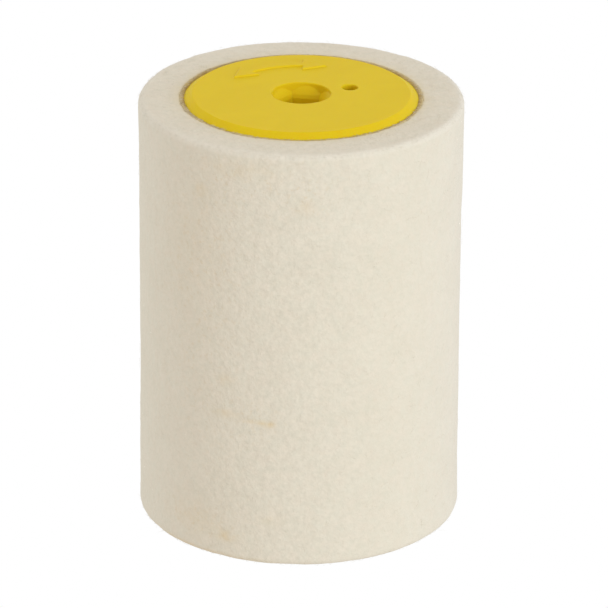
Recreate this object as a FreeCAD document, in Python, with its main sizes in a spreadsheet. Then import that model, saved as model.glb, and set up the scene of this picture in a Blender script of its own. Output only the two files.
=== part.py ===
import FreeCAD, Part
import os
import Sketcher

# Felt polishing wheel: a thick wool-felt sleeve bonded round a stiff tube, closed at each end by a
# moulded drive cap. A hexagonal drive shaft passes through both caps and turns the whole wheel.
#
# Frame: millimetres, Z is the spin axis, the origin is on it at mid-length, and +X passes through the
# index hole of each cap. The wheel is one rigid assembly, and both caps are the same moulding.

DIMENSIONS = [
    ("overall_length", 99.4, "from cap face to cap face"),
    ("felt_length", 97.6, "felt sleeve, end to end"),
    ("felt_diameter", 72.0, "felt sleeve, outside"),
    ("felt_bore", 53.2, "felt sleeve, inside"),
    ("felt_edge_radius", 1.4, "rounding of the felt's outer edges"),
    ("tube_diameter", 52.8, "core tube, outside"),
    ("tube_bore", 49.0, "core tube, inside"),
    ("flange_diameter", 51.8, "cap flange, outside"),
    ("flange_slope_width", 1.8, "sloping edge of the flange, measured across the face"),
    ("flange_slope_height", 1.2, "how far that slope falls"),
    ("flange_edge_radius", 0.4, "rounding where that slope meets the cap face"),
    ("disc_thickness", 3.0, "cap's end disc, flange included"),
    ("spigot_diameter", 48.8, "cap collar that plugs the tube"),
    ("spigot_wall", 2.0, "wall of that collar"),
    ("spigot_depth", 14.0, "cap face to the collar's inner end"),
    ("hub_diameter", 17.0, "boss round the drive socket"),
    ("hub_depth", 22.0, "cap face to the boss's inner end"),
    ("seat_diameter", 15.5, "boss end that carries the guide tube"),
    ("seat_length", 6.0, "length of that seat"),
    ("rib_thickness", 1.8, "radial ribs from boss to collar"),
    ("rib_depth", 12.0, "cap face to the ribs' inner edge"),
    ("socket_flats", 10.3, "drive socket across its flats"),
    ("mouth_diameter", 13.1, "round mouth of the socket"),
    ("mouth_wall", 0.7, "height of the mouth's round wall, over the middle of a facet"),
    ("facet_height", 1.8, "height of the facets that narrow the mouth towards the hexagon"),
    ("foot_height", 0.8, "height of the steeper foot of each facet"),
    ("foot_inset", 0.25, "how far that foot still leans in, down to the hexagon"),
    ("rim_chamfer", 0.15, "chamfer round the mouth and round the index hole"),
    ("exit_diameter", 14.0, "cone at the boss's inner end, widest"),
    ("exit_depth", 2.0, "depth of that cone"),
    ("index_hole_diameter", 3.6, "small hole beside the socket"),
    ("index_hole_offset", 11.35, "from the spin axis to that hole"),
    ("arrow_offset", 17.5, "from the spin axis to the arrow's middle line"),
    ("arrow_width", 2.2, "width of the arrow's curved bar"),
    ("arrow_head_width", 6.4, "width of the arrow's heads"),
    ("arrow_height", 0.38, "relief above the cap face"),
    ("arrow_edge_radius", 0.3, "rounding of the relief's upper edges"),
    ("arrow_centre_angle", 91.0, "degrees from +X to the arrow's middle"),
    ("arrow_half_angle", 39.0, "degrees from its middle to each tip"),
    ("arrow_bar_angle", 21.0, "degrees from its middle to each head"),
    ("guide_diameter", 18.0, "shaft guide tube, outside"),
    ("guide_bore", 15.6, "shaft guide tube, inside"),
]

RIB_COUNT = 6
HEX_SIDES = 6
RIB_OVERLAP = 0.5  # how far a rib's ends run into the boss and the collar
CUTTER_OVERRUN = 1.0  # how far a cutter stands out of the face that it opens
LEVEL = 1e-4  # how closely an edge has to match the height or radius that it is looked up by

TUBE_LENGTH = "(dims.overall_length - 2 * dims.disc_thickness)"
COLLAR_HEIGHT = "(dims.spigot_depth - dims.disc_thickness)"
GUIDE_LENGTH = "(dims.overall_length - 2 * (dims.hub_depth - dims.seat_length))"
FACE_RADIUS = "(dims.flange_diameter / 2 - dims.flange_slope_width)"
SOCKET_HALF = "(dims.socket_flats / 2)"
FOOT_HALF = "(dims.socket_flats / 2 + dims.foot_inset)"
MOUTH_DEPTH = "(dims.mouth_wall + dims.facet_height + dims.foot_height)"
FACET_SLOPE = f"((dims.mouth_diameter / 2 - {FOOT_HALF}) / dims.facet_height)"

doc = FreeCAD.newDocument("felt_polishing_wheel")


# ---------------------------------------------------------------- sheet and small helpers

def make_sheet():
    """The driving dimensions, one row each: name, value, meaning."""
    sheet = doc.addObject("Spreadsheet::Sheet", "dims")
    for row, (name, value, meaning) in enumerate(DIMENSIONS, start=1):
        sheet.set(f"A{row}", name)
        sheet.set(f"B{row}", str(value))
        sheet.setAlias(f"B{row}", name)
        sheet.set(f"C{row}", meaning)
    doc.recompute()


def bind(thing, prop, formula):
    """Ties a property of an object to a formula of the sheet's cells."""
    thing.setExpression(prop, formula)


def new_body(label):
    """An empty body, which becomes one piece or the blank of one."""
    body = doc.addObject("PartDesign::Body", label)
    body.Label = label
    return body


def new_sketch(body, name, plane, lift=None, turn=0.0):
    """A sketch on one of the body's own origin planes, lifted off it and turned about its normal."""
    sketch = body.newObject("Sketcher::SketchObject", name)
    origin_plane = next(item for item in body.Origin.OriginFeatures if item.Role == plane)
    sketch.AttachmentSupport = [(origin_plane, "")]
    sketch.MapMode = "FlatFace"
    turned = FreeCAD.Rotation(FreeCAD.Vector(0, 0, 1), turn)
    sketch.AttachmentOffset = FreeCAD.Placement(FreeCAD.Vector(0, 0, 0), turned)
    if lift:
        bind(sketch, "AttachmentOffset.Base.z", lift)
    return sketch


def constrain(sketch, kind, *where_and_formula):
    """A dimension of the sketch whose value is a formula of the sheet's cells."""
    *where, formula = where_and_formula
    value = float(sketch.evalExpression(formula))
    index = sketch.addConstraint(Sketcher.Constraint(kind, *where, value))
    bind(sketch, f"Constraints[{index}]", formula)


def place_point(sketch, line, end, across, up):
    """Pins one end of a line at two distances from the sketch's origin."""
    constrain(sketch, "DistanceX", -1, 1, line, end, across)
    constrain(sketch, "DistanceY", -1, 1, line, end, up)


def draw_circle(sketch, diameter, across=None):
    """A circle on the sketch's origin, or on its horizontal axis at a distance."""
    offset = float(sketch.evalExpression(across)) if across else 0.0
    radius = float(sketch.evalExpression(diameter)) / 2
    centre = FreeCAD.Vector(offset, 0, 0)
    circle = sketch.addGeometry(Part.Circle(centre, FreeCAD.Vector(0, 0, 1), radius))
    if across:
        sketch.addConstraint(Sketcher.Constraint("PointOnObject", circle, 3, -1))
        constrain(sketch, "DistanceX", -1, 1, circle, 3, across)
    else:
        sketch.addConstraint(Sketcher.Constraint("Coincident", circle, 3, -1, 1))
    constrain(sketch, "Diameter", circle, diameter)


def draw_outline(sketch, corners):
    """A closed outline of straight lines. Each corner is two formulas, across and up."""
    points = [
        FreeCAD.Vector(float(sketch.evalExpression(across)), float(sketch.evalExpression(up)), 0)
        for across, up in corners
    ]
    lines = [
        sketch.addGeometry(Part.LineSegment(point, points[(index + 1) % len(points)]))
        for index, point in enumerate(points)
    ]
    for line, following in zip(lines, lines[1:] + lines[:1]):
        sketch.addConstraint(Sketcher.Constraint("Coincident", line, 2, following, 1))
    for line, (across, up) in zip(lines, corners):
        place_point(sketch, line, 1, across, up)


def level_edges(feature, height, radius=None):
    """Names of the feature's edges that lie level at that height. A radius keeps only full circles of it."""
    names = []
    for number, edge in enumerate(feature.Shape.Edges, start=1):
        low, high = edge.BoundBox.ZMin, edge.BoundBox.ZMax
        is_level = abs(low - height) < LEVEL and abs(high - height) < LEVEL
        is_circle = isinstance(edge.Curve, Part.Circle) and edge.isClosed()
        if is_level and (radius is None or (is_circle and abs(edge.Curve.Radius - radius) < LEVEL)):
            names.append(f"Edge{number}")
    return names


def soften(body, kind, name, heights, size, diameter=None):
    """A fillet or chamfer on the level edges of the body's newest feature, its size from the sheet."""
    doc.recompute()
    feature = body.Tip
    radius = float(body.evalExpression(diameter)) / 2 if diameter else None
    edges = []
    for height in heights:
        edges += level_edges(feature, float(body.evalExpression(height)), radius)
    if len(edges) < len(heights):
        raise RuntimeError(f"{name}: found {len(edges)} edges at {len(heights)} heights")
    softened = body.newObject(kind, name)
    softened.Base = (feature, edges)
    bind(softened, "Radius" if kind == "PartDesign::Fillet" else "Size", size)
    return softened


def add_feature(body, kind, name, sketch):
    """A sketch-based feature whose sketch is hidden inside it."""
    feature = body.newObject(kind, name)
    feature.Profile = sketch
    return feature


def pad(body, name, sketch, length, both_ways=False):
    """Material grown from a sketch along its normal."""
    feature = add_feature(body, "PartDesign::Pad", name, sketch)
    feature.SideType = "Symmetric" if both_ways else "One side"
    bind(feature, "Length", length)
    return feature


def pocket_upwards(body, name, sketch):
    """A cut from a sketch at the body's lower end through everything above it."""
    doc.recompute()
    before = body.Shape.Volume
    feature = add_feature(body, "PartDesign::Pocket", name, sketch)
    feature.Type = "ThroughAll"
    feature.Reversed = True
    doc.recompute()
    if body.Shape.Volume > before - 1.0:
        raise RuntimeError(f"{name} cut nothing")
    return feature


# ---------------------------------------------------------------- plain rings

def make_ring(label, outside, inside, length):
    """A straight ring about the spin axis, centred on the body's own origin."""
    body = new_body(label)
    sketch = new_sketch(body, f"{label}_section", "XY_Plane")
    draw_circle(sketch, outside)
    draw_circle(sketch, inside)
    pad(body, f"{label}_length", sketch, length, both_ways=True)
    return body


def make_felt_sleeve():
    """The thick wool-felt sleeve, its outer edges slightly rounded."""
    body = make_ring("felt_sleeve", "dims.felt_diameter", "dims.felt_bore", "dims.felt_length")
    ends = ["dims.felt_length / 2", "-dims.felt_length / 2"]
    soften(body, "PartDesign::Fillet", "felt_edges", ends, "dims.felt_edge_radius", "dims.felt_diameter")
    return body


def make_felt_adhesive():
    """The film of glue that fills the space between felt and tube."""
    return make_ring("felt_adhesive", "dims.felt_bore", "dims.tube_diameter", TUBE_LENGTH)


def make_core_tube():
    """The stiff tube, which reaches the underside of both flanges."""
    return make_ring("core_tube", "dims.tube_diameter", "dims.tube_bore", TUBE_LENGTH)


def make_shaft_guide_tube():
    """The inner tube that leads the shaft from one drive socket to the other."""
    return make_ring("shaft_guide_tube", "dims.guide_diameter", "dims.guide_bore", GUIDE_LENGTH)


def make_cap_adhesive(label, side):
    """The glue ring between one cap's collar and the tube. side is 1 for the top, -1 for the bottom."""
    body = make_ring(label, "dims.tube_bore", "dims.spigot_diameter", COLLAR_HEIGHT)
    middle = f"dims.overall_length / 2 - dims.disc_thickness - {COLLAR_HEIGHT} / 2"
    bind(body, "Placement.Base.z", f"{side} * ({middle})")
    return body


# ---------------------------------------------------------------- drive cap
# A cap is drawn with its boss's inner end at height 0 and its outer face at height hub_depth.

def revolve_cap(body):
    """The cap's turned form: end disc with flange, collar, and boss with the guide tube's seat."""
    underside = "dims.hub_depth - dims.disc_thickness"
    collar_end = "dims.hub_depth - dims.spigot_depth"
    core_radius = "dims.socket_flats / 4"
    outline = [
        (core_radius, "0"),
        ("dims.seat_diameter / 2", "0"),
        ("dims.seat_diameter / 2", "dims.seat_length"),
        ("dims.hub_diameter / 2", "dims.seat_length"),
        ("dims.hub_diameter / 2", underside),
        ("dims.spigot_diameter / 2 - dims.spigot_wall", underside),
        ("dims.spigot_diameter / 2 - dims.spigot_wall", collar_end),
        ("dims.spigot_diameter / 2", collar_end),
        ("dims.spigot_diameter / 2", underside),
        ("dims.flange_diameter / 2", underside),
        ("dims.flange_diameter / 2", "dims.hub_depth - dims.flange_slope_height"),
        (FACE_RADIUS, "dims.hub_depth"),
        (core_radius, "dims.hub_depth"),
    ]
    sketch = new_sketch(body, f"{body.Label}_profile", "XZ_Plane")
    draw_outline(sketch, outline)
    turned = add_feature(body, "PartDesign::Revolution", f"{body.Label}_turned", sketch)
    turned.ReferenceAxis = (sketch, ["V_Axis"])
    turned.Angle = 360
    soften(
        body, "PartDesign::Fillet", f"{body.Label}_flange_edge",
        ["dims.hub_depth"], "dims.flange_edge_radius", f"2 * {FACE_RADIUS}",
    )


def rib_cap(body):
    """Radial ribs between boss and collar, the first one half a pitch away from the index hole."""
    half_pitch = 180.0 / RIB_COUNT
    sketch = new_sketch(
        body, f"{body.Label}_rib_section", "XY_Plane", "dims.hub_depth - dims.rib_depth", half_pitch
    )
    start = f"dims.hub_diameter / 2 - {RIB_OVERLAP}"
    end = f"dims.spigot_diameter / 2 - dims.spigot_wall + {RIB_OVERLAP}"
    half = "dims.rib_thickness / 2"
    draw_outline(sketch, [(start, f"-{half}"), (end, f"-{half}"), (end, half), (start, half)])
    rib = pad(body, f"{body.Label}_rib", sketch, "dims.rib_depth - dims.disc_thickness")
    ribs = body.newObject("PartDesign::PolarPattern", f"{body.Label}_ribs")
    ribs.Originals = [rib]
    ribs.Axis = (next(item for item in body.Origin.OriginFeatures if item.Role == "Z_Axis"), [""])
    ribs.Angle = 360
    ribs.Occurrences = RIB_COUNT
    body.Tip = ribs


def draw_hexagon(sketch, flats):
    """A regular hexagon about the sketch's origin, with two flats square to its horizontal axis."""
    corner_circle = f"{flats} / cos(30 deg)"
    radius = float(sketch.evalExpression(corner_circle)) / 2
    rim = sketch.addGeometry(Part.Circle(FreeCAD.Vector(), FreeCAD.Vector(0, 0, 1), radius), True)
    sketch.addConstraint(Sketcher.Constraint("Coincident", rim, 3, -1, 1))
    constrain(sketch, "Diameter", rim, corner_circle)
    first_corner = FreeCAD.Vector(radius, 0, 0)
    points = [
        FreeCAD.Rotation(FreeCAD.Vector(0, 0, 1), 30 + 60 * side).multVec(first_corner)
        for side in range(HEX_SIDES)
    ]
    lines = [
        sketch.addGeometry(Part.LineSegment(points[side], points[(side + 1) % HEX_SIDES]))
        for side in range(HEX_SIDES)
    ]
    for line, following in zip(lines, lines[1:] + lines[:1]):
        sketch.addConstraint(Sketcher.Constraint("Coincident", line, 2, following, 1))
        sketch.addConstraint(Sketcher.Constraint("PointOnObject", line, 2, rim))
    for line in lines[1:]:
        sketch.addConstraint(Sketcher.Constraint("Equal", lines[0], line))
    sketch.addConstraint(Sketcher.Constraint("Vertical", lines[-1]))


def bore_cap(body):
    """The hexagonal socket, the cone at its inner end, and the index hole through the end disc."""
    socket = new_sketch(body, f"{body.Label}_socket_section", "XY_Plane")
    draw_hexagon(socket, "dims.socket_flats")
    pocket_upwards(body, f"{body.Label}_socket", socket)
    cone = body.newObject("PartDesign::SubtractiveCone", f"{body.Label}_socket_exit")
    bind(cone, "Radius1", "dims.exit_diameter / 2")
    bind(cone, "Radius2", SOCKET_HALF)
    bind(cone, "Height", "dims.exit_depth")
    hole = new_sketch(body, f"{body.Label}_index_hole_section", "XY_Plane")
    draw_circle(hole, "dims.index_hole_diameter", "dims.index_hole_offset")
    pocket_upwards(body, f"{body.Label}_index_hole", hole)
    soften(
        body, "PartDesign::Chamfer", f"{body.Label}_index_hole_rim",
        ["dims.hub_depth"], "dims.rim_chamfer", "dims.index_hole_diameter",
    )


def polar(distance, angle):
    """Formulas for the point at that distance from the sketch's origin, at that angle."""
    return f"({distance}) * cos({angle} * 1 deg)", f"({distance}) * sin({angle} * 1 deg)"


def draw_arrow(sketch):
    """A curved bar with a head at each end, symmetric about the sketch's horizontal axis."""
    middle = "dims.arrow_offset"
    outer_bar = polar(f"{middle} + dims.arrow_width / 2", "dims.arrow_bar_angle")
    outer_barb = polar(f"{middle} + dims.arrow_head_width / 2", "dims.arrow_bar_angle")
    tip = polar(middle, "dims.arrow_half_angle")
    inner_barb = polar(f"{middle} - dims.arrow_head_width / 2", "dims.arrow_bar_angle")
    inner_bar = polar(f"{middle} - dims.arrow_width / 2", "dims.arrow_bar_angle")
    corners = [outer_bar, outer_barb, tip, inner_barb, inner_bar]
    upper = [
        FreeCAD.Vector(float(sketch.evalExpression(across)), float(sketch.evalExpression(up)), 0)
        for across, up in corners
    ]
    lower = [FreeCAD.Vector(point.x, -point.y, 0) for point in upper]

    def draw_head(points):
        """The four lines of one head, from the bar's outer corner to its inner one."""
        head = [sketch.addGeometry(Part.LineSegment(a, b)) for a, b in zip(points, points[1:])]
        for line, following in zip(head, head[1:]):
            sketch.addConstraint(Sketcher.Constraint("Coincident", line, 2, following, 1))
        return head

    upper_head = draw_head(upper)
    lower_head = draw_head(lower)
    for line, corner in zip(upper_head, corners):
        place_point(sketch, line, 1, *corner)
    place_point(sketch, upper_head[-1], 2, *corners[-1])
    for above, below in zip(upper_head, lower_head):
        sketch.addConstraint(Sketcher.Constraint("Symmetric", above, 1, below, 1, -1))
    sketch.addConstraint(Sketcher.Constraint("Symmetric", upper_head[-1], 2, lower_head[-1], 2, -1))

    def draw_bar_side(low, high, low_line, high_line, end):
        """One curved side of the bar, between the same end of the two heads."""
        reach = Part.Arc(low, FreeCAD.Vector(low.Length, 0, 0), high)
        arc = sketch.addGeometry(reach)
        sketch.addConstraint(Sketcher.Constraint("Coincident", arc, 1, low_line, end))
        sketch.addConstraint(Sketcher.Constraint("Coincident", arc, 2, high_line, end))
        sketch.addConstraint(Sketcher.Constraint("PointOnObject", arc, 3, -2))

    draw_bar_side(lower[0], upper[0], lower_head[0], upper_head[0], 1)
    draw_bar_side(lower[-1], upper[-1], lower_head[-1], upper_head[-1], 2)


def raise_arrow(body):
    """A plain double-headed rotation arrow in low relief, because the wheel may turn either way."""
    sketch = new_sketch(body, f"{body.Label}_arrow_outline", "XY_Plane", "dims.hub_depth")
    bind(sketch, "AttachmentOffset.Rotation.Angle", "dims.arrow_centre_angle")
    draw_arrow(sketch)
    pad(body, f"{body.Label}_arrow", sketch, "dims.arrow_height")
    top = "dims.hub_depth + dims.arrow_height"
    soften(body, "PartDesign::Fillet", f"{body.Label}_arrow_edges", [top], "dims.arrow_edge_radius")


def make_mouth_cutter(label):
    """The socket's lead-in: a round mouth inside which six facets slope to the hexagon in two steps."""
    def hexagon(name, half_flats, height):
        polygon = doc.addObject("Part::RegularPolygon", name)
        polygon.Polygon = HEX_SIDES
        bind(polygon, "Circumradius", f"({half_flats}) / cos(30 deg)")
        polygon.Placement.Rotation = FreeCAD.Rotation(FreeCAD.Vector(0, 0, 1), 30)
        bind(polygon, "Placement.Base.z", height)
        return polygon

    bottom = f"dims.hub_depth - {MOUTH_DEPTH}"
    rise = f"({MOUTH_DEPTH} + {CUTTER_OVERRUN})"
    above_foot = f"({rise} - dims.foot_height)"
    facets = doc.addObject("Part::Loft", f"{label}_facets")
    facets.Sections = [
        hexagon(f"{label}_facets_low", SOCKET_HALF, bottom),
        hexagon(f"{label}_facets_foot", FOOT_HALF, f"{bottom} + dims.foot_height"),
        hexagon(f"{label}_facets_high", f"{FOOT_HALF} + {above_foot} * {FACET_SLOPE}", f"{bottom} + {rise}"),
    ]
    facets.Solid = True
    facets.Ruled = True
    mouth = doc.addObject("Part::Cylinder", f"{label}_round")
    bind(mouth, "Radius", "dims.mouth_diameter / 2")
    bind(mouth, "Height", rise)
    bind(mouth, "Placement.Base.z", bottom)
    lead_in = doc.addObject("Part::Common", f"{label}_lead_in")
    lead_in.Base = mouth
    lead_in.Tool = facets
    rim = doc.addObject("Part::Cone", f"{label}_rim")
    bind(rim, "Radius1", "dims.mouth_diameter / 2")
    bind(rim, "Radius2", f"dims.mouth_diameter / 2 + dims.rim_chamfer + {CUTTER_OVERRUN}")
    bind(rim, "Height", f"dims.rim_chamfer + {CUTTER_OVERRUN}")
    bind(rim, "Placement.Base.z", "dims.hub_depth - dims.rim_chamfer")
    cutter = doc.addObject("Part::Fuse", f"{label}_cutter")
    cutter.Base = lead_in
    cutter.Tool = rim
    return cutter


def make_end_cap(label, side):
    """One drive cap, the same moulding at both ends. side is 1 for the top, -1 for the bottom."""
    body = new_body(f"{label}_blank")
    revolve_cap(body)
    rib_cap(body)
    bore_cap(body)
    raise_arrow(body)
    cap = doc.addObject("Part::Cut", label)
    cap.Label = label
    cap.Base = body
    cap.Tool = make_mouth_cutter(f"{label}_mouth")
    if side < 0:
        cap.Placement.Rotation = FreeCAD.Rotation(FreeCAD.Vector(1, 0, 0), 180)
    bind(cap, "Placement.Base.z", f"{side} * (dims.overall_length / 2 - dims.hub_depth)")
    return cap


# ---------------------------------------------------------------- assembly and export

def check_document(pieces):
    """Stops the script if any object failed or any piece isn't one valid solid."""
    for item in doc.Objects:
        if "Invalid" in item.State or "Error" in item.State:
            raise RuntimeError(f"{item.Name} did not compute: {item.State}")
    for piece in pieces:
        if piece.Shape.isNull() or not piece.Shape.isValid() or len(piece.Shape.Solids) != 1:
            raise RuntimeError(f"{piece.Label} is not one valid solid")


make_sheet()
pieces = [
    make_felt_sleeve(),
    make_felt_adhesive(),
    make_core_tube(),
    make_shaft_guide_tube(),
    make_end_cap("end_cap_top", 1),
    make_end_cap("end_cap_bottom", -1),
    make_cap_adhesive("cap_adhesive_top", 1),
    make_cap_adhesive("cap_adhesive_bottom", -1),
]
doc.recompute()
check_document(pieces)
os.makedirs("parts", exist_ok=True)
for piece in pieces:
    piece.Shape.exportStep(f"parts/{piece.Label}.step")
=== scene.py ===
import math
import random
from collections import namedtuple

import bpy
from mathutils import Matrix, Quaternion, Vector, noise


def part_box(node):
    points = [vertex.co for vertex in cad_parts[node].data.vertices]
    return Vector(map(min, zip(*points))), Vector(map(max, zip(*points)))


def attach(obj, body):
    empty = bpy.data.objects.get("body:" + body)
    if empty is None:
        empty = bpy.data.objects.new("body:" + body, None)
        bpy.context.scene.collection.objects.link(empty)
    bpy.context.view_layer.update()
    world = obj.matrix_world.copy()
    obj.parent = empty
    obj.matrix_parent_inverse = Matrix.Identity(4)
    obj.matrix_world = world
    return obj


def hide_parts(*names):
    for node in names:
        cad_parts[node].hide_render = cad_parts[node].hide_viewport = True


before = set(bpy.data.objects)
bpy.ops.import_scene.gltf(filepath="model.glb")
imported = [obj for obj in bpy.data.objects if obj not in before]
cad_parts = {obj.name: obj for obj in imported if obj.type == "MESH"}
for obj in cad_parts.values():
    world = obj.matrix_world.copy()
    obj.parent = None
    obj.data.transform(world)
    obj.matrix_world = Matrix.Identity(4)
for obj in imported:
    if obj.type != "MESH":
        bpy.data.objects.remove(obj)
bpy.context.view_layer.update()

# A felt polishing wheel, standing on its lower cap. The caps, the core tube, the shaft guide tube and the
# glue rings of the caps are the CAD parts with better materials. The felt and the glue line round each cap
# are built here, because a smooth ring says nothing about pressed wool or squeezed-out glue.
# Lengths are in metres and angles in degrees, unless a comment says otherwise.

MM = 0.001
TAU = 2 * math.pi

# ------------------------------------------------------------------ camera and light

CAMERA_AZIMUTH = -19.3  # the index hole of the top cap then lies right of the socket
CAMERA_ELEVATION = 23.03
CAMERA_ROLL = 0.38
CAMERA_DISTANCE = 1.163
CAMERA_LENS = 306.9  # millimetres: a long lens, as product pictures use
CAMERA_SENSOR = 36.0  # millimetres
CAMERA_SHIFT = (0.0066, -0.0063)  # share of the frame by which the wheel sits off the lens axis
CAMERA_NEAR = 0.05

BACKDROP_COLOUR = (1.0, 1.0, 1.0)  # what the camera sees behind the wheel: plain white
BACKDROP_BRIGHTNESS = 1.0
ROOM_BRIGHTNESS = 0.775  # what lights the wheel from every side
ROOM_COLOUR = (1.0, 0.963, 0.940)
# Name, azimuth from the camera, elevation, watts, colour
LAMPS = [
    ("key_softbox", 46.0, 18.0, 6.3, (0.955, 1.09, 1.19)),
    ("left_softbox", -125.0, 7.0, 2.2, (0.955, 1.33, 1.58)),
    ("right_softbox", 127.0, 5.0, 1.2, (0.5, 0.9, 2.0)),
]
LAMP_DISTANCE = 1.5
LAMP_WIDTH = 0.6

# ------------------------------------------------------------------ felt

FELT_COLUMNS = 400  # mesh columns round the wheel
FELT_SIDE_ROWS = 168
FELT_FACE_ROWS = 20
FELT_BORE_ROWS = 8
FELT_ROUND_ROWS = 5
FELT_OUTER_ROUND = 1.4 * MM
FELT_INNER_ROUND = 0.3 * MM
FELT_FLARE = 0.12 * MM  # the ends stand out by this much and the middle draws in by as much
FELT_SETTLE = 0.06 * MM  # the relief's mean lies this far under the CAD skin
# Size and height of each layer of unevenness
FELT_RELIEF = [(26 * MM, 0.09 * MM), (8 * MM, 0.09 * MM), (4 * MM, 0.06 * MM), (1.9 * MM, 0.04 * MM)]
# Size and depth of each layer of notches in the edge of the bore
FELT_FRAY = [(0.9 * MM, 0.45 * MM), (2.5 * MM, 0.225 * MM)]

FELT_SIDE_SHARE = 0.97  # past this share of the outer radius a point belongs to the running surface
FELT_BORE_FACING = -0.99  # a row of points belongs to the bore if it faces the axis this squarely
FELT_EDGE_REACH = 1.01 * FELT_INNER_ROUND  # the edge frays this far out from the bore
RIM_PAINTED_HIGHLIGHT = 0.35  # how much paler the upper rim is painted: a painted highlight where the rim catches the light
RIM_HIGHLIGHT_FACING = 0.3  # only rows that face up at least this much have it
RIM_HIGHLIGHT_INSET = 0.7 * MM
RIM_HIGHLIGHT_WIDTH = 0.8 * MM

# ------------------------------------------------------------------ marks on the felt

# A patch: angle from +X seen from above, height from mid-length, reach across and along, strength.
# Brown stains, and one row of painted shade along the lower rim
STAINS_AND_RIM_SHADE = [
    (-120.6, -14.8 * MM, 1.5 * MM, 0.7 * MM, 0.95),
    (-126.0, -14.4 * MM, 2.2 * MM, 0.5 * MM, 0.45),
    (-136.5, -13.6 * MM, 2.6 * MM, 0.8 * MM, 0.40),
    (-136.0, -5.6 * MM, 1.8 * MM, 1.4 * MM, 0.26),
    (-136.0, -43.2 * MM, 2.4 * MM, 1.4 * MM, 0.45),
    (-150.0, -41.0 * MM, 7.0 * MM, 4.0 * MM, 0.20),
    # painted shade along the lower rim, where the felt's edge turns away underneath
    (-148.0, -48.2 * MM, 16.0 * MM, 0.6 * MM, 0.60),
    (-119.0, -38.0 * MM, 2.5 * MM, 1.2 * MM, 0.20),
    (-107.5, 37.0 * MM, 1.8 * MM, 1.6 * MM, 0.20),
    (-131.0, 44.5 * MM, 8.0 * MM, 2.4 * MM, 0.22),
    (-146.3, 37.9 * MM, 1.4 * MM, 1.4 * MM, 0.35),
    (-150.0, 26.0 * MM, 8.0 * MM, 16.0 * MM, 0.10),
    (20.0, 12.0 * MM, 4.0 * MM, 3.0 * MM, 0.25),
    (110.0, -20.0 * MM, 5.0 * MM, 2.5 * MM, 0.28),
]
STAIN_AND_SHADE_STRENGTH = 0.9
STAIN_AND_SHADE_UNEVENNESS = 0.8
STAIN_AND_SHADE_BLOTCH = 1.2 * MM
# Patches where burr specks show
BURRS = [
    (-146.0, 24.0 * MM, 11.0 * MM, 24.0 * MM, 0.34),
    (-148.0, -10.0 * MM, 9.0 * MM, 22.0 * MM, 0.20),
    (-146.0, -42.0 * MM, 9.0 * MM, 5.0 * MM, 0.40),
    (-128.0, -14.0 * MM, 7.0 * MM, 5.0 * MM, 0.25),
    (-124.0, 42.0 * MM, 12.0 * MM, 5.0 * MM, 0.30),
    (-106.0, 39.0 * MM, 7.0 * MM, 5.0 * MM, 0.25),
    (60.0, 5.0 * MM, 12.0 * MM, 30.0 * MM, 0.30),
]
BURRS_EVERYWHERE = 0.05
# Patches where the painted shade of the felt's pores is strongest: darker pits and lighter tops painted into
# the colour
PORE_SHADE_PATCHES = [
    (-120.0, 0.0, 25.0 * MM, 200.0 * MM, 0.85),
    (62.0, 0.0, 40.0 * MM, 200.0 * MM, 0.60),
]
# strength of the painted pore shade on the whole side, and on the cut faces
PORE_SHADE_EVERYWHERE = 0.12
FACE_PORE_SHADE = 0.5

# Glue soaks fully into the wool up to one depth and fades out at the other; a fainter halo reaches further.
SOAK_FULL = 0.1 * MM
SOAK_END = 0.9 * MM
SOAK_WANDER = 0.3 * MM
SOAK_STRENGTH = 0.22
HALO_REACH = 1.7 * MM
HALO_STRENGTH = 0.28
HALO_UNEVENNESS = 0.8
SOAK_PATCHES = [(2.2 * MM, 1.0), (0.8 * MM, 0.5)]  # size and weight of each layer

# ------------------------------------------------------------------ fibres standing out of the felt

FIBRE_SEED = 7421
FIBRE_SIDES = 3
FIBRE_JOINTS = 5
FIBRE_RADIUS = 0.013 * MM
FIBRE_END = 0.35  # thickness at the ends, as a share of the middle's
FIBRE_BEND = 0.6  # sideways bend at the tip, as a share of the length
FIBRE_ARCH = 0.8  # half-waves that a fibre's height runs through, so that the tip stays off the felt
FIBRE_SIDE_SHARE = 0.985  # share of the running surface's length that carries fibres
FIBRE_FACE_MARGIN = 1.2 * MM

# Fibres of one kind: how many there are, and the ranges of their length and of their rise above the felt
FibreKind = namedtuple("FibreKind", "count lengths rises")
SIDE_FIBRES = FibreKind(600, (0.8 * MM, 2.6 * MM), (0.02 * MM, 0.14 * MM))
FACE_FIBRES = FibreKind(500, (0.8 * MM, 2.2 * MM), (0.03 * MM, 0.14 * MM))  # on each cut face
RIM_FIBRES = FibreKind(400, (0.6 * MM, 1.8 * MM), (0.04 * MM, 0.20 * MM))  # on each outer rim
BORE_FIBRES = FibreKind(1400, (0.4 * MM, 1.1 * MM), (0.02 * MM, 0.14 * MM))  # round each cap
BORE_FIBRE_SWERVE = 1.2  # sideways part of their direction, where the part towards the axis is 1
BORE_FIBRE_DEPTH = 0.7 * MM  # they are rooted up to this far out from the bore
BORE_FIBRE_SINK = 0.10 * MM
BORE_FIBRE_COARSENESS = (1.2, 2.6)
BORE_FIBRE_STAIN = (0.10, 0.80)

# ------------------------------------------------------------------ caps and glue line

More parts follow.
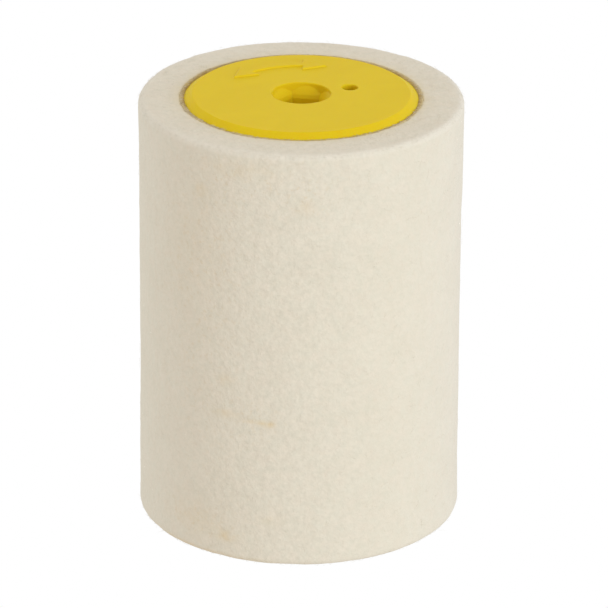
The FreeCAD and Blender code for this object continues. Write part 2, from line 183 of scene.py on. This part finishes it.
CAP_SOFTNESS = 0.3 * MM  # the moulding's edges look rounded by this much
CAP_FACE = 49.7 * MM  # height of the caps' faces from mid-length
FLANGE_SLOPE_WIDTH = 1.8 * MM
FLANGE_SLOPE_HEIGHT = 1.2 * MM
GLUE_COLUMNS = 360
GLUE_TOP_STEPS = 6
GLUE_SINK = 0.05 * MM  # how far the bead lies below the felt's end where it meets the felt
GLUE_FALL = 0.28 * MM  # how much lower it lies where it meets the cap
GLUE_SOAK = 0.30 * MM  # how far the bead reaches into the felt's rounded edge
GLUE_LIP = 0.2 * MM  # how thick it is there
GLUE_GRIP = 0.01 * MM  # how far it runs into the flange, so that no slit shows
GLUE_FOOT_DROP = 0.05 * MM
GLUE_FLANGE_GAP = 0.03 * MM  # the bead's hidden side stands this far off the flange
GLUE_ROOT_RISE = 0.02 * MM
GLUE_WOOL_SHARE = 0.8  # how much wool the glue beside the felt holds
GLUE_SWELLING = 0.12 * MM  # height of each of the bead's two layers of swelling
GLUE_LUMPS = 6.0  # radius of the bead's circle in the noise: the larger, the shorter its lumps
GLUE_FINER = 5.0  # how much finer the second layer is
GLUE_END_STEP = 9.0  # keeps the noise of the two ends apart


def link(thing):
    """Puts a new object in the scene."""
    bpy.context.scene.collection.objects.link(thing)
    return thing


def mesh_object(name, vertices, faces):
    """A smooth-shaded piece made from points and faces."""
    mesh = bpy.data.meshes.new(name)
    mesh.from_pydata(vertices, [], faces)
    mesh.validate()
    mesh.polygons.foreach_set("use_smooth", [True] * len(mesh.polygons))
    mesh.update()
    return link(bpy.data.objects.new(name, mesh))


def store_values(piece, name, values):
    """Keeps one value for each point of a piece, for its material to read."""
    layer = piece.data.attributes.new(name, "FLOAT", "POINT")
    layer.data.foreach_set("value", values)


def hand_over(piece, material, replaced=None):
    """Gives a built piece its material, hangs it under the root body, and hides the CAD part that it
    replaces.
    """
    piece.data.materials.append(material)
    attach(piece, "root")
    if replaced:
        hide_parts(replaced)


def direction(turn):
    """The unit vector square to the wheel's axis at that angle in radians from +X."""
    return Vector((math.cos(turn), math.sin(turn), 0))


def column_directions(columns):
    """Directions evenly spaced round the wheel, one for each mesh column."""
    return [direction(TAU * column / columns) for column in range(columns)]


def on_axis(z):
    """A point on the wheel's axis."""
    return Vector((0, 0, z))


def ring_faces(columns, rows, column_step, row_step):
    """Faces of a closed ring with a closed section. A step is the gap between two neighbours' numbers."""
    faces = []
    for column in range(columns):
        here = column * column_step
        beside = (column + 1) % columns * column_step
        for row in range(rows):
            low = row * row_step
            high = (row + 1) % rows * row_step
            faces.append((here + low, beside + low, beside + high, here + high))
    return faces


def layered_noise(point, layers):
    """Sum of noise of several sizes, each with its own weight."""
    return sum(weight * noise.noise(point / size) for size, weight in layers)


def around(azimuth, elevation, distance):
    """The point at that distance from the wheel's middle. Azimuth 0 is on the side of -Y."""
    turn = math.radians(azimuth)
    lift = math.radians(elevation)
    towards = Vector((math.sin(turn) * math.cos(lift), -math.cos(turn) * math.cos(lift), math.sin(lift)))
    return towards * distance


# ================================================================== materials

# Numbers of a mix node's sockets when it mixes colours
SHARE_INPUT = 0
FIRST_COLOUR = 6
SECOND_COLOUR = 7
MIXED_COLOUR = 2

BEVEL_SAMPLES = 6


def opaque(red, green, blue):
    """A linear colour with full alpha."""
    return (red, green, blue, 1.0)


class Shader:
    """A node material under construction, with short calls for the nodes that this scene uses."""

    def __init__(self, name):
        self.material = bpy.data.materials.new(name)
        self.material.use_nodes = True
        self.tree = self.material.node_tree
        self.surface = self.tree.nodes["Principled BSDF"]
        self.place = self.add("ShaderNodeTexCoord").outputs["Object"]

    def add(self, kind, inputs=None, **settings):
        """A node whose inputs are given as values or as other nodes' sockets."""
        made = self.tree.nodes.new(kind)
        for key, value in settings.items():
            setattr(made, key, value)
        for key, value in (inputs or {}).items():
            self.feed(made.inputs[key], value)
        return made

    def feed(self, socket, value):
        """Sets a socket to a value, or links it."""
        if isinstance(value, bpy.types.NodeSocket):
            self.tree.links.new(value, socket)
        else:
            socket.default_value = value

    def noise(self, size, detail=2.0, roughness=0.5, distortion=0.0, place=None):
        """Noise whose lumps are about that size in metres, from 0 to 1."""
        inputs = {
            "Vector": place or self.place,
            "Scale": 1 / size,
            "Detail": detail,
            "Roughness": roughness,
            "Distortion": distortion,
        }
        return self.add("ShaderNodeTexNoise", inputs).outputs["Fac"]

    def maths(self, operation, first, second=0.0, clamp=False):
        """One arithmetic step."""
        made = self.add("ShaderNodeMath", operation=operation, use_clamp=clamp)
        self.feed(made.inputs[0], first)
        self.feed(made.inputs[1], second)
        return made.outputs[0]

    def spread(self, value, low, high, to_low=0.0, to_high=1.0):
        """Value taken from one range to another, and held inside it."""
        inputs = {"Value": value, "From Min": low, "From Max": high, "To Min": to_low, "To Max": to_high}
        return self.add("ShaderNodeMapRange", inputs, clamp=True).outputs["Result"]

    def mix(self, share, first, second, **settings):
        """Two colours mixed."""
        made = self.add("ShaderNodeMix", data_type="RGBA", **settings)
        self.feed(made.inputs[SHARE_INPUT], share)
        self.feed(made.inputs[FIRST_COLOUR], first)
        self.feed(made.inputs[SECOND_COLOUR], second)
        return made.outputs[MIXED_COLOUR]

    def blend(self, share, first, second):
        """A colour between two, by a share from 0 to 1."""
        return self.mix(share, first, second, clamp_factor=True)

    def multiply(self, first, second):
        """Two colours multiplied."""
        return self.mix(1.0, first, second, blend_type="MULTIPLY")

    def weighted(self, *layers):
        """Sum of values, each times its weight."""
        total = 0.0
        for value, weight in layers:
            total = self.maths("ADD", total, self.maths("MULTIPLY", value, weight))
        return total

    def attribute(self, name):
        """A value stored on the mesh's points."""
        return self.add("ShaderNodeAttribute", attribute_name=name).outputs["Fac"]

    def bump(self, layers, softness=None):
        """Adds surface relief: a list of (height from 0 to 1, depth in metres). Softness blurs edges."""
        normal = None
        if softness:
            bevel = self.add("ShaderNodeBevel", {"Radius": softness}, samples=BEVEL_SAMPLES)
            normal = bevel.outputs["Normal"]
        for height, depth in layers:
            inputs = {"Height": height, "Distance": depth, "Strength": 1.0}
            if normal:
                inputs["Normal"] = normal
            normal = self.add("ShaderNodeBump", inputs).outputs["Normal"]
        self.feed(self.surface.inputs["Normal"], normal)

    def set(self, **values):
        """Sets the surface's inputs, named with underscores for spaces."""
        for key, value in values.items():
            self.feed(self.surface.inputs[key.replace("_", " ")], value)


WOOL_DARK = opaque(0.778, 0.716, 0.589)
WOOL_LIGHT = opaque(0.804, 0.746, 0.621)
WOOL_COOL = opaque(0.991, 1.002, 0.994)
WOOL_WARM = opaque(1.008, 0.996, 0.988)
WOOL_BURR = opaque(0.72, 0.59, 0.40)
# brown of the stains, also used for the painted shade along the lower rim
WOOL_STAIN_AND_SHADE = opaque(0.77, 0.62, 0.39)
WOOL_GLUED = opaque(0.72, 0.57, 0.24)
# colour of the painted highlight along the upper rim
WOOL_PAINTED_HIGHLIGHT = opaque(0.88, 0.83, 0.73)
WOOL_SHEEN = opaque(1.0, 0.97, 0.90)
WOOL_GRAIN_SIZE = 0.7 * MM
WOOL_CLUMP_SIZE = 1.7 * MM
WOOL_CLOUD_SIZE = 9 * MM
WOOL_HUE_SIZE = 2.2 * MM
WOOL_BURR_SIZE = 0.9 * MM
# painted shade of the pores: its size, and how strongly pits are darkened and tops lightened
WOOL_PORE_SHADE_SIZE = 1.1 * MM
WOOL_PORE_SHADE_CONTRAST = 0.09
WOOL_CLUMP_HEIGHT = 0.29 * MM
WOOL_GRAIN_HEIGHT = 0.09 * MM


def wool_painted_pore_shade(shader):
    """Painted shade of the wool's pores: how much darker the pits and lighter the tops are painted, as a
    factor near 1.
    """
    spots = shader.noise(WOOL_PORE_SHADE_SIZE, detail=3.0, roughness=0.65)
    pore_shade = shader.spread(spots, 0.34, 0.66, -0.5, 0.5)
    pore_shade = shader.maths("MULTIPLY", pore_shade, shader.attribute("pore_shade"))
    return shader.maths("ADD", shader.maths("MULTIPLY", pore_shade, WOOL_PORE_SHADE_CONTRAST), 1.0)


def wool_marks(shader, colour):
    """The wool's colour with burr specks, stains, painted shade along the lower rim, soaked-in glue and a
    painted highlight along the upper rim.
    """
    burr = shader.spread(shader.noise(WOOL_BURR_SIZE, detail=2.0), 0.56, 0.72)
    burr = shader.maths("MULTIPLY", burr, shader.attribute("burr"))
    colour = shader.blend(burr, colour, WOOL_BURR)
    # stains, and painted shade along the lower rim
    colour = shader.blend(shader.attribute("stain_and_rim_shade"), colour, WOOL_STAIN_AND_SHADE)
    colour = shader.blend(shader.attribute("glue"), colour, WOOL_GLUED)
    # painted highlight along the upper rim
    return shader.blend(shader.attribute("rim_highlight"), colour, WOOL_PAINTED_HIGHLIGHT)


def felt_material():
    """Pressed cream wool: painted shade in its pores, faint warm and cool patches, marks with painted rim
    shade and a painted rim highlight, and a light sheen.
    """
    shader = Shader("wool_felt")
    grain = shader.noise(WOOL_GRAIN_SIZE, detail=2.0, roughness=0.5)
    clump = shader.noise(WOOL_CLUMP_SIZE, detail=3.0, roughness=0.55)
    cloud = shader.noise(WOOL_CLOUD_SIZE, detail=3.0)
    mottle = shader.spread(shader.weighted((grain, 0.20), (clump, 0.40), (cloud, 0.40)), 0.38, 0.62)
    colour = shader.blend(mottle, WOOL_DARK, WOOL_LIGHT)
    # painted shade and light in the pores
    colour = shader.multiply(colour, wool_painted_pore_shade(shader))
    hue = shader.spread(shader.noise(WOOL_HUE_SIZE, detail=3.0, roughness=0.6), 0.36, 0.64)
    colour = shader.multiply(colour, shader.blend(hue, WOOL_COOL, WOOL_WARM))
    colour = wool_marks(shader, colour)
    shader.set(Base_Color=colour, Roughness=0.96, Specular_IOR_Level=0.12)
    shader.set(Sheen_Weight=0.12, Sheen_Roughness=0.4, Sheen_Tint=WOOL_SHEEN)
    shader.bump([(clump, WOOL_CLUMP_HEIGHT), (grain, WOOL_GRAIN_HEIGHT)])
    return shader.material


FIBRE_DARK = opaque(0.76, 0.70, 0.58)
FIBRE_LIGHT = opaque(0.84, 0.79, 0.68)
FIBRE_GLUED = opaque(0.67, 0.52, 0.22)
FIBRE_TONE_SIZE = 2 * MM


def fibre_material():
    """Loose wool ends, a little lighter than the felt, and stained where they stand in the glue."""
    shader = Shader("wool_fibre")
    tone = shader.spread(shader.noise(FIBRE_TONE_SIZE), 0.35, 0.65)
    colour = shader.blend(tone, FIBRE_DARK, FIBRE_LIGHT)
    colour = shader.blend(shader.attribute("glue"), colour, FIBRE_GLUED)
    shader.set(Base_Color=colour, Roughness=0.9, Specular_IOR_Level=0.15)
    shader.set(Sheen_Weight=0.15, Sheen_Roughness=0.5)
    return shader.material


CAP_DARK = opaque(0.800, 0.578, 0.0085)
CAP_LIGHT = opaque(0.826, 0.602, 0.0095)
CAP_FLOW_SIZE = 9 * MM
CAP_SPECK_SIZE = 0.7 * MM
CAP_GRAIN_SIZE = 0.25 * MM
CAP_FLOW_HEIGHT = 0.010 * MM
CAP_GRAIN_HEIGHT = 0.005 * MM
CAP_GLOW_DEPTH = 1.2 * MM  # how deep light gets into the plastic
CAP_GLOW_REACH = (1.0, 0.6, 0.06)  # the share of that depth for red, green and blue


def cap_material():
    """Moulded yellow plastic: nearly matt, with a fine spark-eroded grain and faint flow clouds."""
    shader = Shader("cap_plastic")
    flow = shader.noise(CAP_FLOW_SIZE, detail=2.0, distortion=0.8)
    speck = shader.noise(CAP_SPECK_SIZE, detail=2.0)
    tone = shader.spread(shader.weighted((flow, 0.6), (speck, 0.4)), 0.36, 0.64)
    colour = shader.blend(tone, CAP_DARK, CAP_LIGHT)
    rough = shader.spread(speck, 0.3, 0.7, 0.42, 0.50)
    shader.set(Base_Color=colour, Roughness=rough, IOR=1.5, Specular_IOR_Level=0.11)
    shader.set(Subsurface_Weight=0.35, Subsurface_Radius=CAP_GLOW_REACH, Subsurface_Scale=CAP_GLOW_DEPTH)
    grain = shader.noise(CAP_GRAIN_SIZE, detail=2.0)
    shader.bump([(flow, CAP_FLOW_HEIGHT), (grain, CAP_GRAIN_HEIGHT)], CAP_SOFTNESS)
    return shader.material


TUBE_DARK = opaque(0.36, 0.31, 0.22)
TUBE_LIGHT = opaque(0.44, 0.39, 0.29)
TUBE_LINE_SIZE = 0.6 * MM
TUBE_LINE_STRETCH = (1.0, 1.0, 0.03)
TUBE_LINE_HEIGHT = 0.02 * MM


def tube_material():
    """Extruded plastic tube: dull, with drawn lines along its length."""
    shader = Shader("tube_plastic")
    stretched = shader.add("ShaderNodeMapping", {"Vector": shader.place, "Scale": TUBE_LINE_STRETCH})
    lines = shader.noise(TUBE_LINE_SIZE, detail=2.0, place=stretched.outputs["Vector"])
    shader.set(Base_Color=shader.blend(lines, TUBE_DARK, TUBE_LIGHT), Roughness=0.55)
    shader.bump([(lines, TUBE_LINE_HEIGHT)])
    return shader.material


GLUE_DARK = opaque(0.40, 0.27, 0.08)
GLUE_LIGHT = opaque(0.56, 0.41, 0.14)
GLUE_WOOLLY = opaque(0.71, 0.59, 0.34)
GLUE_PATCH_SIZE = 1.8 * MM
GLUE_LINT_SIZE = 0.35 * MM
GLUE_PATCH_HEIGHT = 0.10 * MM
GLUE_LINT_HEIGHT = 0.05 * MM


def glue_material():
    """Set adhesive: amber and uneven, and paler where it runs out into the wool."""
    shader = Shader("adhesive")
    patch = shader.noise(GLUE_PATCH_SIZE, detail=3.0, distortion=0.6)
    lint = shader.noise(GLUE_LINT_SIZE, detail=2.0, distortion=1.2)
    colour = shader.blend(shader.spread(patch, 0.35, 0.65), GLUE_DARK, GLUE_LIGHT)
    ragged = shader.spread(lint, 0.4, 0.7, -0.15, 0.25)
    woolly = shader.maths("ADD", shader.attribute("wool"), ragged, clamp=True)
    colour = shader.blend(woolly, colour, GLUE_WOOLLY)
    rough = shader.spread(lint, 0.3, 0.7, 0.5, 0.9)
    shader.set(Base_Color=colour, Roughness=rough, Specular_IOR_Level=0.2)
    shader.bump([(patch, GLUE_PATCH_HEIGHT), (lint, GLUE_LINT_HEIGHT)])
    return shader.material


# ================================================================== felt sleeve

def arc_rows(centre_r, centre_z, radius, start, end, rows):
    """Rows of a rounded edge: (radius, height, outward r, outward z) at each step of the arc."""
    made = []
    for row in range(rows + 1):
        angle = math.radians(start + (end - start) * row / rows)
        out_r = math.cos(angle)
        out_z = math.sin(angle)
        made.append((centre_r + radius * out_r, centre_z + radius * out_z, out_r, out_z))
    return made


def straight_rows(start, end, out, rows):
    """Rows between two corners, without the corners themselves."""
    made = []
    for row in range(1, rows):
        share = row / rows
        r = start[0] + (end[0] - start[0]) * share
        z = start[1] + (end[1] - start[1]) * share
        made.append((r, z, *out))
    return made


def felt_section(outer, inner, half):
    """The closed section of the sleeve, going up the outside and down the inside."""
    big = FELT_OUTER_ROUND
    small = FELT_INNER_ROUND
    upper_out = arc_rows(outer - big, half - big, big, 0, 90, FELT_ROUND_ROWS)
    upper_in = arc_rows(inner + small, half - small, small, 90, 180, FELT_ROUND_ROWS)
    lower_in = arc_rows(inner + small, -half + small, small, 180, 270, FELT_ROUND_ROWS)
    lower_out = arc_rows(outer - big, -half + big, big, 270, 360, FELT_ROUND_ROWS)
    rows = list(upper_out)
    rows += straight_rows(upper_out[-1], upper_in[0], (0, 1), FELT_FACE_ROWS)
    rows += upper_in
    rows += straight_rows(upper_in[-1], lower_in[0], (-1, 0), FELT_BORE_ROWS)
    rows += lower_in
    rows += straight_rows(lower_in[-1], lower_out[0], (0, -1), FELT_FACE_ROWS)
    rows += lower_out
    rows += straight_rows(lower_out[-1], upper_out[0], (1, 0), FELT_SIDE_ROWS)
    return rows


def flare_at(z, half):
    """How far the felt's side stands out: a little at the ends, a little inwards at mid-length."""
    return FELT_FLARE * (2 * (z / half) ** 2 - 1)


def smooth_step(value, low, high):
    """0 below low, 1 above high, smooth between."""
    share = min(1.0, max(0.0, (value - low) / (high - low)))
    return share * share * (3 - 2 * share)


def patches_at(point, outer, patches):
    """Summed strength of patches at a point of the felt's side, each fading from its middle."""
    total = 0.0
    for degrees, middle, across, along, strength in patches:
        turn = math.radians(degrees)
        sideways = math.remainder(math.atan2(point.y, point.x) - turn, TAU) * outer
        reach = (sideways / across) ** 2 + ((point.z - middle) / along) ** 2
        total += strength * math.exp(-reach)
    return total


def stain_and_rim_shade_at(point, outer):
    """Strength of the brown stains and of the painted shade along the lower rim at a point of the felt's
    side, up to 1.
    """
    uneven = STAIN_AND_SHADE_STRENGTH + STAIN_AND_SHADE_UNEVENNESS * noise.noise(point / STAIN_AND_SHADE_BLOTCH)
    return min(1.0, patches_at(point, outer, STAINS_AND_RIM_SHADE) * uneven)


def glue_stain_at(point, depth):
    """How far glue has soaked into the wool, by its distance from the bore."""
    patch = layered_noise(point, SOAK_PATCHES)
    soaked = 1 - smooth_step(depth + SOAK_WANDER * patch, SOAK_FULL, SOAK_END)
    halo = math.exp(-max(0.0, depth) / HALO_REACH) * (1 + HALO_UNEVENNESS * patch)
    return min(1.0, max(0.0, SOAK_STRENGTH * soaked + HALO_STRENGTH * halo))


def painted_rim_highlight_at(r, outer, out_z):
    """How much paler the upper rim is painted: a painted highlight where it catches the light."""
    if out_z <= RIM_HIGHLIGHT_FACING:
        return 0.0
    return RIM_PAINTED_HIGHLIGHT * math.exp(-(((r - outer + RIM_HIGHLIGHT_INSET) / RIM_HIGHLIGHT_WIDTH) ** 2))


def felt_point(row, radial, half, inner):
    """A point of the felt's skin before its unevenness, and how far the unevenness lifts it.

    A point at the edge of the bore is already frayed back. The bore itself stays even, as it is glued.
    """
    r, z, out_r, _ = row
    point = radial * r + on_axis(z)
    if out_r < FELT_BORE_FACING:
        return point, 0.0
    lift = layered_noise(point, FELT_RELIEF) - FELT_SETTLE + flare_at(z, half) * max(0.0, out_r)
    if r < inner + FELT_EDGE_REACH:
        point += radial * abs(layered_noise(point, FELT_FRAY))
    return point, lift


def felt_marks(point, row, outer, inner):
    """The values that the felt's material reads at a point."""
    r, _, _, out_z = row
    on_side = r > outer * FELT_SIDE_SHARE
    return {
        # stains, and painted shade along the lower rim
        "stain_and_rim_shade": stain_and_rim_shade_at(point, outer) if on_side else 0.0,
        "burr": BURRS_EVERYWHERE + (patches_at(point, outer, BURRS) if on_side else 0.0),
        # painted shade in the pores
        "pore_shade": PORE_SHADE_EVERYWHERE + patches_at(point, outer, PORE_SHADE_PATCHES) if on_side else FACE_PORE_SHADE,
        "glue": glue_stain_at(point, r - inner),
        # painted highlight along the upper rim
        "rim_highlight": painted_rim_highlight_at(r, outer, out_z),
    }


def build_felt():
    """The wool sleeve as one closed skin with real unevenness, and values for its stains, its painted pore
    shade, its painted rim shade and its painted rim highlight.
    """
    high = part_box("felt_sleeve")[1]
    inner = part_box("felt_adhesive")[1].y
    section = felt_section(high.y, inner, high.z)
    directions = column_directions(FELT_COLUMNS)
    vertices = []
    marks = []
    for row in section:
        for radial in directions:
            point, lift = felt_point(row, radial, high.z, inner)
            out = radial * row[2] + on_axis(row[3])
            vertices.append(point + out * lift)
            marks.append(felt_marks(point, row, high.y, inner))
    felt = mesh_object("felt_wool", vertices, ring_faces(FELT_COLUMNS, len(section), 1, FELT_COLUMNS))
    for name in marks[0]:
        store_values(felt, name, [mark[name] for mark in marks])
    hand_over(felt, felt_material(), replaced="felt_sleeve")


# ================================================================== loose fibres

class Fibres:
    """Strands collected into one mesh: closed, three-sided, and thinning towards both ends."""

    def __init__(self):
        self.rng = random.Random(FIBRE_SEED)
        self.vertices = []
        self.faces = []
        self.glue = []

    def grow(self, root, out, along, length, rise, radius=FIBRE_RADIUS, glue=0.0):
        """One strand that leaves the felt at root, runs along it and lifts off by up to rise."""
        across = out.cross(along)
        bend = across * self.rng.uniform(-FIBRE_BEND, FIBRE_BEND) * length
        first = len(self.vertices)
        for joint in range(FIBRE_JOINTS):
            share = joint / (FIBRE_JOINTS - 1)
            lift = rise * math.sin(math.pi * share * FIBRE_ARCH)
            middle = root + along * length * share + bend * share * share + out * lift
            swell = math.sin(math.pi * (joint + 0.5) / FIBRE_JOINTS)
            thin = radius * (FIBRE_END + (1 - FIBRE_END) * swell)
            for corner in range(FIBRE_SIDES):
                turn = TAU * corner / FIBRE_SIDES
                self.vertices.append(middle + (out * math.cos(turn) + across * math.sin(turn)) * thin)
                self.glue.append(glue)
        self.skin(first)

    def skin(self, first):
        """The faces of the strand whose points start at that number."""
        for joint in range(FIBRE_JOINTS - 1):
            ring = first + joint * FIBRE_SIDES
            for corner in range(FIBRE_SIDES):
                here = ring + corner
                beside = ring + (corner + 1) % FIBRE_SIDES
                self.faces.append((here, beside, beside + FIBRE_SIDES, here + FIBRE_SIDES))
        last = first + (FIBRE_JOINTS - 1) * FIBRE_SIDES
        self.faces.append(tuple(first + corner for corner in reversed(range(FIBRE_SIDES))))
        self.faces.append(tuple(last + corner for corner in range(FIBRE_SIDES)))

    def radial(self):
        """A random direction square to the wheel's axis."""
        return direction(self.rng.uniform(0, TAU))

    def anywhere(self, out):
        """A random direction along the surface that faces out."""
        spin = self.rng.uniform(0, TAU)
        side = out.orthogonal().normalized()
        return side * math.cos(spin) + out.cross(side) * math.sin(spin)

    def size(self, kind):
        """A random length and rise for a fibre of that kind."""
        return self.rng.uniform(*kind.lengths), self.rng.uniform(*kind.rises)


def grow_side_fibres(fibres, outer, half):
    """Fine ends lying on the running surface."""
    reach = half * FIBRE_SIDE_SHARE
    for _ in range(SIDE_FIBRES.count):
        out = fibres.radial()
        root = out * outer + on_axis(fibres.rng.uniform(-reach, reach))
        length, rise = fibres.size(SIDE_FIBRES)
        fibres.grow(root, out, fibres.anywhere(out), length, rise)


def grow_face_fibres(fibres, inner, outer, half, side):
    """Fine ends lying on one cut face."""
    up = on_axis(side)
    for _ in range(FACE_FIBRES.count):
        radial = fibres.radial()
        root = radial * fibres.rng.uniform(inner + FIBRE_FACE_MARGIN, outer - FIBRE_FACE_MARGIN) + up * half
        length, rise = fibres.size(FACE_FIBRES)
        fibres.grow(root, up, fibres.anywhere(up), length, rise)


def grow_rim_fibres(fibres, outer, half, side):
    """Ends that soften the outer rim."""
    up = on_axis(side)
    inset = FELT_OUTER_ROUND * (1 - math.sqrt(0.5))
    for _ in range(RIM_FIBRES.count):
        radial = fibres.radial()
        out = (radial + up).normalized()
        root = radial * (outer - inset) + up * (half - inset)
        length, rise = fibres.size(RIM_FIBRES)
        fibres.grow(root, out, fibres.anywhere(out), length, rise)


def grow_bore_fibres(fibres, inner, half, side):
    """Coarser ends round the cap, leaning over the glue line and stained by it."""
    rng = fibres.rng
    up = on_axis(side)
    for _ in range(BORE_FIBRES.count):
        radial = fibres.radial()
        swerve = rng.uniform(-BORE_FIBRE_SWERVE, BORE_FIBRE_SWERVE)
        along = (up.cross(radial) * swerve - radial).normalized()
        depth = rng.uniform(0.0, BORE_FIBRE_DEPTH)
        root = radial * (inner + depth) + up * (half - BORE_FIBRE_SINK)
        length, rise = fibres.size(BORE_FIBRES)
        radius = rng.uniform(*BORE_FIBRE_COARSENESS) * FIBRE_RADIUS
        fibres.grow(root, up, along, length, rise, radius, glue=rng.uniform(*BORE_FIBRE_STAIN))


def build_fibres():
    """Wool ends that stand a little proud of the felt, so that no edge of it is razor sharp."""
    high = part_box("felt_sleeve")[1]
    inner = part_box("felt_adhesive")[1].y
    fibres = Fibres()
    grow_side_fibres(fibres, high.y, high.z)
    for side in (-1, 1):
        grow_face_fibres(fibres, inner, high.y, high.z, side)
        grow_rim_fibres(fibres, high.y, high.z, side)
        grow_bore_fibres(fibres, inner, high.z, side)
    ends = mesh_object("felt_loose_fibres", fibres.vertices, fibres.faces)
    store_values(ends, "glue", fibres.glue)
    hand_over(ends, fibre_material())


# ================================================================== glue line

def glue_bead(film, cap, level):
    """Section of the film's end: a bead that falls from the felt to the cap's sloping flange.

    film is the felt's bore, the tube's radius and the height of the film's end, cap the flange's radius and
    the height of its face, and level the bead's height at the felt. The points go from the felt to the tube,
    and each has the share of wool in the glue there.
    """
    felt_bore, tube, end = film
    flange, face = cap
    slope_foot = face - FLANGE_SLOPE_HEIGHT
    cap_level = level - GLUE_FALL
    climb = max(0.0, cap_level - slope_foot)
    cap_side = flange - climb * FLANGE_SLOPE_WIDTH / FLANGE_SLOPE_HEIGHT - GLUE_GRIP
    felt_side = felt_bore + GLUE_SOAK
    top = [(felt_side, level - GLUE_LIP, 1)]
    for step in range(GLUE_TOP_STEPS + 1):
        share = step / GLUE_TOP_STEPS
        r = felt_side + (cap_side - felt_side) * share
        top.append((r, level - GLUE_FALL * share * share, GLUE_WOOL_SHARE * (1 - share) ** 2))
    foot = min(slope_foot, cap_level) - GLUE_FOOT_DROP
    flange_side = flange + GLUE_FLANGE_GAP
    root = end + GLUE_ROOT_RISE
    return [(felt_bore, root, 0), *top, (flange_side, foot, 0), (flange_side, root, 0), (tube, end, 0)]


def glue_unevenness(radial, side):
    """How far the bead swells there above its mean level."""
    place = radial * GLUE_LUMPS + on_axis(side * GLUE_END_STEP)
    return GLUE_SWELLING * noise.noise(place) + GLUE_SWELLING * noise.noise(place * GLUE_FINER)


def glue_section(radial, film, cap, felt_end):
    """The film's whole section in one direction: the bead at the upper end, then the one at the lower."""
    section = []
    for side in (1, -1):
        level = felt_end - GLUE_SINK + glue_unevenness(radial, side)
        bead = glue_bead(film, cap, level)
        section += bead if side > 0 else [(r, -z, share) for r, z, share in reversed(bead)]
    return section


def build_glue():
    """The bond film under the felt, swelling at each end into an uneven bead between felt and cap."""
    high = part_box("felt_adhesive")[1]
    film = (high.y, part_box("core_tube")[1].y, high.z)
    cap = (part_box("end_cap_top")[1].y, CAP_FACE)
    felt_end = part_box("felt_sleeve")[1].z
    vertices = []
    wool = []
    for radial in column_directions(GLUE_COLUMNS):
        section = glue_section(radial, film, cap, felt_end)
        vertices += [radial * r + on_axis(z) for r, z, _ in section]
        wool += [share for _, _, share in section]
    rows = len(section)
    glue = mesh_object("felt_glue_line", vertices, ring_faces(GLUE_COLUMNS, rows, rows, 1))
    store_values(glue, "wool", wool)
    hand_over(glue, glue_material(), replaced="felt_adhesive")


# ================================================================== CAD parts, studio and camera

def dress_cad_parts():
    """Gives each CAD part that stays visible its material."""
    dressing = {
        cap_material(): ["end_cap_top", "end_cap_bottom"],
        tube_material(): ["core_tube", "shaft_guide_tube"],
        glue_material(): ["cap_adhesive_top", "cap_adhesive_bottom"],
    }
    for material, nodes in dressing.items():
        for name in nodes:
            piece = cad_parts[name]
            if not piece.material_slots:
                piece.data.materials.append(material)
            for slot in piece.material_slots:
                slot.material = material


def white_room():
    """A room that lights the wheel evenly, in front of a plain white backdrop."""
    world = bpy.data.worlds.new("studio")
    world.use_nodes = True
    tree = world.node_tree
    room = tree.nodes["Background"]
    backdrop = tree.nodes.new("ShaderNodeBackground")
    lights = [(room, ROOM_COLOUR, ROOM_BRIGHTNESS), (backdrop, BACKDROP_COLOUR, BACKDROP_BRIGHTNESS)]
    for light, colour, brightness in lights:
        light.inputs["Color"].default_value = opaque(*colour)
        light.inputs["Strength"].default_value = brightness
    seen = tree.nodes.new("ShaderNodeLightPath").outputs["Is Camera Ray"]
    chosen = tree.nodes.new("ShaderNodeMixShader")
    tree.links.new(seen, chosen.inputs[0])
    tree.links.new(room.outputs[0], chosen.inputs[1])
    tree.links.new(backdrop.outputs[0], chosen.inputs[2])
    tree.links.new(chosen.outputs[0], tree.nodes["World Output"].inputs["Surface"])
    bpy.context.scene.world = world


def hang_lamps():
    """Soft boxes round the wheel, the strongest one at the right of the camera."""
    for name, azimuth, elevation, watts, colour in LAMPS:
        lamp = bpy.data.lights.new(name, "AREA")
        lamp.shape = "DISK"
        lamp.size = LAMP_WIDTH
        lamp.energy = watts
        lamp.color = colour
        box = link(bpy.data.objects.new(name, lamp))
        box.location = around(CAMERA_AZIMUTH + azimuth, elevation, LAMP_DISTANCE)
        box.rotation_mode = "QUATERNION"
        box.rotation_quaternion = box.location.to_track_quat("Z", "Y")
        box.visible_camera = False


def place_camera():
    """A long lens looking slightly down at the wheel."""
    lens = bpy.data.cameras.new("camera")
    lens.lens = CAMERA_LENS
    lens.sensor_width = CAMERA_SENSOR
    lens.shift_x, lens.shift_y = CAMERA_SHIFT
    lens.clip_start = CAMERA_NEAR
    camera = link(bpy.data.objects.new("camera", lens))
    camera.location = around(CAMERA_AZIMUTH, CAMERA_ELEVATION, CAMERA_DISTANCE)
    camera.rotation_mode = "QUATERNION"
    level = camera.location.to_track_quat("Z", "Y")
    camera.rotation_quaternion = level @ Quaternion((0, 0, 1), math.radians(CAMERA_ROLL))
    bpy.context.scene.camera = camera


build_felt()
build_fibres()
build_glue()
dress_cad_parts()
white_room()
hang_lamps()
place_camera()
bpy.context.scene.view_settings.view_transform = "Standard"
